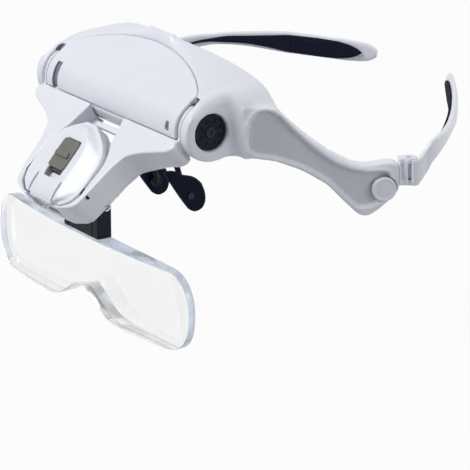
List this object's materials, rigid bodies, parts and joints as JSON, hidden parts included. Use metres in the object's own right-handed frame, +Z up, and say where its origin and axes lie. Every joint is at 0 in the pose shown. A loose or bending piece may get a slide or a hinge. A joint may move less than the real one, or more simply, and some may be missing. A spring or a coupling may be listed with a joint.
{
  "type": "lighted headband magnifier",
  "caption": "Head-worn magnifier with a forehead shell, folding temple legs, a flip-up arm, a tilting lamp and a clip-in lens.",
  "frame": {"origin": "under the middle of the whole, level with the lowest points of the lens", "axes": "+X to the wearer's left, the front of the magnifier to -Y, +Z up as worn"},
  "size_m": [0.1876, 0.1898, 0.1116],
  "materials": {
    "white_shell": "satin moulding",
    "black_plastic": "satin moulding",
    "grey_plastic": "satin moulding",
    "black_rubber": "soft matte",
    "foam": "foam with a fine textile face",
    "acrylic": "clear polished",
    "led_clear": "clear domes",
    "cells": "foil jacket",
    "steel": "bright",
    "black_steel": "blackened",
    "board": "circuit board"
  },
  "bodies": {
    "head": {"head_shell": "white_shell", "battery_cells": "cells", "battery_contacts": "steel", "pad_frame": "white_shell", "forehead_pad": "foam", "nose_bracket": "black_plastic", "nose_arms": "black_plastic", "nose_pins": "black_steel", "button_springs": "steel", "friction_washers": "steel"},
    "cover": {"battery_cover": "white_shell"},
    "button_left": {"release_button_left": "white_shell"},
    "button_right": {"release_button_right": "white_shell"},
    "link_left": {"leg_link_left": "white_shell", "hinge_pin_left": "steel"},
    "link_right": {"leg_link_right": "white_shell", "hinge_pin_right": "steel"},
    "leg_left": {"temple_leg_left": "white_shell", "leg_grip_left": "black_rubber"},
    "leg_right": {"temple_leg_right": "white_shell", "leg_grip_right": "black_rubber"},
    "arm": {"lens_arm": "white_shell", "arm_rear_cover": "white_shell", "arm_screws": "steel", "pivot_cap_left": "black_plastic", "pivot_cap_right": "black_plastic", "pivot_screws": "black_steel", "lamp_pins": "black_plastic", "holder_pin": "steel"},
    "lamp": {"lamp_front_cover": "white_shell", "lamp_rear_cover": "white_shell", "lamp_board": "board", "leds": "led_clear", "switch_body": "steel"},
    "switch": {"switch_slider": "grey_plastic"},
    "holder": {"lens_holder": "black_plastic", "lens_spring": "steel"},
    "lens": {"lens": "acrylic"},
    "nose_left": {"nose_pad_left": "black_rubber"},
    "nose_right": {"nose_pad_right": "black_rubber"}
  },
  "joints": [
    {"name": "arm_flip", "type": "hinge", "parent": "head", "child": "arm", "pos_m": [0, -0.0489, 0.0844], "axis": [-1, 0, 0], "range_deg": [0, 72]},
    {"name": "lamp_tilt", "type": "hinge", "parent": "arm", "child": "lamp", "pos_m": [0, -0.08602, 0.05634], "axis": [1, 0, 0], "range_deg": [-4, 22]},
    {"name": "switch_slide", "type": "slide", "parent": "lamp", "child": "switch", "axis": [0, -0.6691, -0.7431], "range_m": [0, 0.003]},
    {"name": "holder_tilt", "type": "hinge", "parent": "arm", "child": "holder", "pos_m": [0, -0.0701, 0.0537], "axis": [-1, 0, 0], "range_deg": [-10, 30]},
    {"name": "lens_slide", "type": "slide", "parent": "holder", "child": "lens", "axis": [0, 0, -1], "range_m": [0, 0.02]},
    {"name": "battery_cover", "type": "slide", "parent": "head", "child": "cover", "axis": [0, 0.5878, -0.809], "range_m": [-0.02, 0]},
    {"name": "release_button_left", "type": "slide", "parent": "head", "child": "button_left", "axis": [-0.887, 0.4617, 0], "range_m": [0, 0.001], "stiffness_N_per_m": 1500, "springref_m": -0.0005},
    {"name": "leg_release_left", "type": "slide", "parent": "head", "child": "link_left", "axis": [0.4617, 0.887, 0], "range_m": [0, 0.018]},
    {"name": "leg_fold_left", "type": "hinge", "parent": "link_left", "child": "leg_left", "pos_m": [0.08946, 0.02274, 0.0651], "axis": [0, 0, 1], "range_deg": [-40, 20]},
    {"name": "nose_swivel_left", "type": "hinge", "parent": "head", "child": "nose_left", "pos_m": [0.0135, -0.0313, 0.0444], "axis": [1, 0, 0], "range_deg": [-15, 15]},
    {"name": "release_button_right", "type": "slide", "parent": "head", "child": "button_right", "axis": [0.887, 0.4617, 0], "range_m": [0, 0.001], "stiffness_N_per_m": 1500, "springref_m": -0.0005},
    {"name": "leg_release_right", "type": "slide", "parent": "head", "child": "link_right", "axis": [-0.4617, 0.887, 0], "range_m": [0, 0.018]},
    {"name": "leg_fold_right", "type": "hinge", "parent": "link_right", "child": "leg_right", "pos_m": [-0.08946, 0.02274, 0.0651], "axis": [0, 0, -1], "range_deg": [-40, 20]},
    {"name": "nose_swivel_right", "type": "hinge", "parent": "head", "child": "nose_right", "pos_m": [-0.0135, -0.0313, 0.0444], "axis": [1, 0, 0], "range_deg": [-15, 15]}
  ]
}
